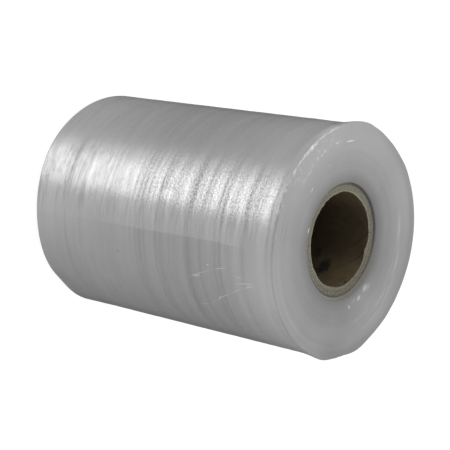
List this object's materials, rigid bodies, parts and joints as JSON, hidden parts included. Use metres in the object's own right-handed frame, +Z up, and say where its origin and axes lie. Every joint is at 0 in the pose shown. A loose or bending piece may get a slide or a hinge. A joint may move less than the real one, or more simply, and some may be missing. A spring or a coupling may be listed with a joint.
{
  "type": "protective film roll",
  "caption": "Roll of clear protective film wound on a paperboard tube, with a dished end, a flared rim and an open bore.",
  "frame": {"origin": "on the roll's axis, at the lower end of the core, on which it stands", "axes": "+Z up along the bore to the end with the flared rim; the roll is round, so X and Y are any two directions across it"},
  "size_m": [0.1848, 0.1848, 0.2596],
  "materials": {
    "paperboard": "matte, with a fuzzy sawn edge",
    "clear_film": "glossy on the side, satin on the ends"
  },
  "bodies": {
    "root": {"core_tube": "paperboard", "film_winding": "clear_film"}
  },
  "joints": []
}
